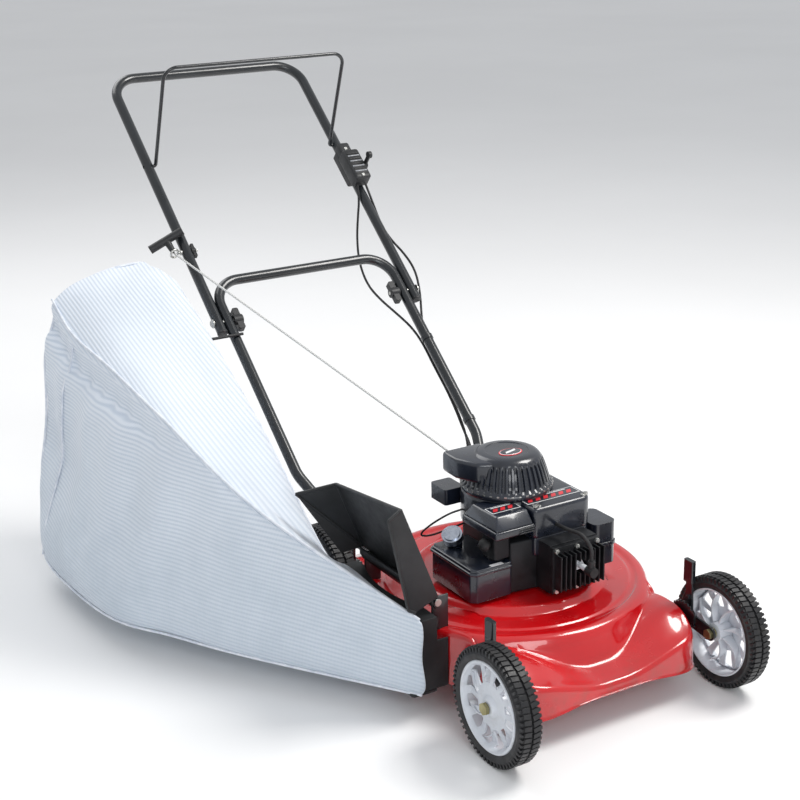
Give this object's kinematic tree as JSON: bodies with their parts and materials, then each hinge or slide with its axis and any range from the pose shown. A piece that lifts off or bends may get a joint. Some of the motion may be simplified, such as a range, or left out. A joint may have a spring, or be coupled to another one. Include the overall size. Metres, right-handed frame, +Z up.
{
  "type": "push lawn mower",
  "caption": "Walk-behind petrol push lawn mower with a steel deck, pull-start engine, side discharge chute, side grass bag, folding tube handle and lever-adjusted wheels.",
  "frame": {"origin": "middle of the mower's box, on the ground", "axes": "-Y is the way it is pushed, +Z is up and +X is the operator's left"},
  "size_m": [0.908, 1.6675, 0.9952],
  "materials": {
    "red_enamel": "gloss enamel",
    "black_enamel": "gloss enamel",
    "lever_steel": "satin black",
    "zinc_steel": "zinc plated",
    "blade_steel": "ground edge",
    "cast_aluminium": "black painted casting",
    "engine_black": "gloss black",
    "engine_plastic": "moulded",
    "black_plastic": "moulded",
    "spark_ceramic": "glazed",
    "black_rubber": "moulded",
    "white_plastic": "moulded",
    "tyre_rubber": "ribbed",
    "bag_cloth": "ribbed weave",
    "rope_fibre": "braided"
  },
  "bodies": {
    "deck": {"deck_shell": "red_enamel", "notch_plates": "black_enamel", "handle_brackets": "black_enamel", "deck_bolts": "zinc_steel", "deflector_rod": "zinc_steel", "deflector_spring": "zinc_steel", "engine_block": "cast_aluminium", "cylinder_head": "cast_aluminium", "engine_bolts": "zinc_steel", "spark_plug": "spark_ceramic", "spark_lead": "black_rubber", "blower_housing": "engine_black", "starter_housing": "engine_plastic", "carburetor": "cast_aluminium", "air_cleaner_cover": "engine_plastic", "fuel_tank": "engine_plastic", "muffler": "engine_black", "breather_box": "engine_plastic", "lower_handle": "black_enamel", "throttle_cable": "black_rubber", "brake_cable": "black_rubber", "cable_clips": "zinc_steel", "starter_rope": "rope_fibre"},
    "crank": {"crankshaft": "blade_steel", "flywheel": "cast_aluminium", "blade_adapter": "zinc_steel", "blade": "blade_steel", "blade_bolt": "zinc_steel"},
    "upper_handle": {"upper_handle": "black_enamel", "fold_bolts": "zinc_steel", "control_housing": "black_plastic", "rope_guide": "zinc_steel", "guide_nut": "zinc_steel"},
    "bail": {"bail": "black_enamel"},
    "throttle": {"throttle_lever": "black_plastic"},
    "knob_left": {"fold_knob_left": "black_plastic"},
    "knob_right": {"fold_knob_right": "black_plastic"},
    "grip": {"starter_grip": "black_plastic"},
    "pulley": {"starter_pulley": "engine_plastic"},
    "primer": {"primer_bulb": "black_rubber"},
    "cap": {"fuel_cap": "black_plastic"},
    "bag": {"bag": "bag_cloth", "chute_adapter": "black_plastic"},
    "deflector": {"deflector": "black_plastic"},
    "lever_front_left": {"height_lever_front_left": "lever_steel", "axle_bolt_front_left": "zinc_steel"},
    "wheel_front_left": {"tyre_front_left": "tyre_rubber", "rim_front_left": "white_plastic"},
    "lever_front_right": {"height_lever_front_right": "lever_steel", "axle_bolt_front_right": "zinc_steel"},
    "wheel_front_right": {"tyre_front_right": "tyre_rubber", "rim_front_right": "white_plastic"},
    "lever_rear_left": {"height_lever_rear_left": "lever_steel", "axle_bolt_rear_left": "zinc_steel"},
    "wheel_rear_left": {"tyre_rear_left": "tyre_rubber", "rim_rear_left": "white_plastic"},
    "lever_rear_right": {"height_lever_rear_right": "lever_steel", "axle_bolt_rear_right": "zinc_steel"},
    "wheel_rear_right": {"tyre_rear_right": "tyre_rubber", "rim_rear_right": "white_plastic"}
  },
  "joints": [
    {"name": "height_front_left", "type": "hinge", "parent": "deck", "child": "lever_front_left", "pos_m": [0.392, -0.67715, 0.108], "axis": [1, 0, 0], "range_deg": [-24, 24]},
    {"name": "roll_front_left", "type": "hinge", "parent": "lever_front_left", "child": "wheel_front_left", "pos_m": [0.427, -0.73215, 0.1016], "axis": [1, 0, 0], "continuous": true},
    {"name": "height_front_right", "type": "hinge", "parent": "deck", "child": "lever_front_right", "pos_m": [-0.02, -0.67715, 0.108], "axis": [1, 0, 0], "range_deg": [-24, 24]},
    {"name": "roll_front_right", "type": "hinge", "parent": "lever_front_right", "child": "wheel_front_right", "pos_m": [-0.055, -0.73215, 0.1016], "axis": [1, 0, 0], "continuous": true},
    {"name": "height_rear_left", "type": "hinge", "parent": "deck", "child": "lever_rear_left", "pos_m": [0.392, -0.21215, 0.108], "axis": [1, 0, 0], "range_deg": [-24, 24]},
    {"name": "roll_rear_left", "type": "hinge", "parent": "lever_rear_left", "child": "wheel_rear_left", "pos_m": [0.427, -0.15715, 0.1016], "axis": [1, 0, 0], "continuous": true},
    {"name": "height_rear_right", "type": "hinge", "parent": "deck", "child": "lever_rear_right", "pos_m": [-0.02, -0.21215, 0.108], "axis": [1, 0, 0], "range_deg": [-24, 24]},
    {"name": "roll_rear_right", "type": "hinge", "parent": "lever_rear_right", "child": "wheel_rear_right", "pos_m": [-0.055, -0.15715, 0.1016], "axis": [1, 0, 0], "continuous": true},
    {"name": "crank_turn", "type": "hinge", "parent": "deck", "child": "crank", "pos_m": [0.186, -0.41215, 0.1], "axis": [0, 0, 1], "continuous": true},
    {"name": "handle_fold", "type": "hinge", "parent": "deck", "child": "upper_handle", "pos_m": [0.186, 0.29485, 0.494], "axis": [1, 0, 0], "range_deg": [0, 130], "deforming": ["throttle_cable", "brake_cable", "starter_rope"]},
    {"name": "bail_close", "type": "hinge", "parent": "upper_handle", "child": "bail", "pos_m": [0.186, 0.62425, 0.7704], "axis": [1, 0, 0], "range_deg": [-64, 0], "stiffness_Nm_per_rad": 1.5, "springref_deg": 45.84},
    {"name": "throttle_swing", "type": "hinge", "parent": "upper_handle", "child": "throttle", "pos_m": [0.446, 0.53449, 0.73424], "axis": [1, 0, 0], "range_deg": [-35, 35]},
    {"name": "knob_left_turn", "type": "hinge", "parent": "upper_handle", "child": "knob_left", "pos_m": [0.376, 0.29485, 0.494], "axis": [1, 0, 0], "continuous": true},
    {"name": "knob_right_turn", "type": "hinge", "parent": "upper_handle", "child": "knob_right", "pos_m": [-0.004, 0.29485, 0.494], "axis": [1, 0, 0], "continuous": true},
    {"name": "starter_pull", "type": "slide", "parent": "upper_handle", "child": "grip", "axis": [-0.25, 0.6, 0.76], "range_m": [0, 0.6], "stiffness_N_per_m": 20, "springref_m": -0.3},
    {"name": "pulley_turn", "type": "hinge", "parent": "deck", "child": "pulley", "pos_m": [0.186, -0.41215, 0.36], "axis": [0, 0, 1], "range_deg": [-1190, 0]},
    {"name": "primer_press", "type": "slide", "parent": "deck", "child": "primer", "axis": [1, 0, 0], "range_m": [0, 0.0028], "stiffness_N_per_m": 600},
    {"name": "cap_turn", "type": "hinge", "parent": "deck", "child": "cap", "pos_m": [0.066, -0.41615, 0.252], "axis": [-0.4187, -0.2991, 0.8574], "continuous": true},
    {"name": "bag_slide", "type": "slide", "parent": "deck", "child": "bag", "axis": [-1, 0, 0], "range_m": [0, 0.42]},
    {"name": "deflector_swing", "type": "hinge", "parent": "deck", "child": "deflector", "pos_m": [-0.043, -0.41215, 0.2], "axis": [0, 1, 0], "range_deg": [-68.1, 0]}
  ],
  "couplings": [
    {"joint": "deflector_swing", "follows": "bag_slide", "rad_per_m": -2.8258},
    {"joint": "pulley_turn", "follows": "starter_pull", "rad_per_m": -34.247}
  ]
}
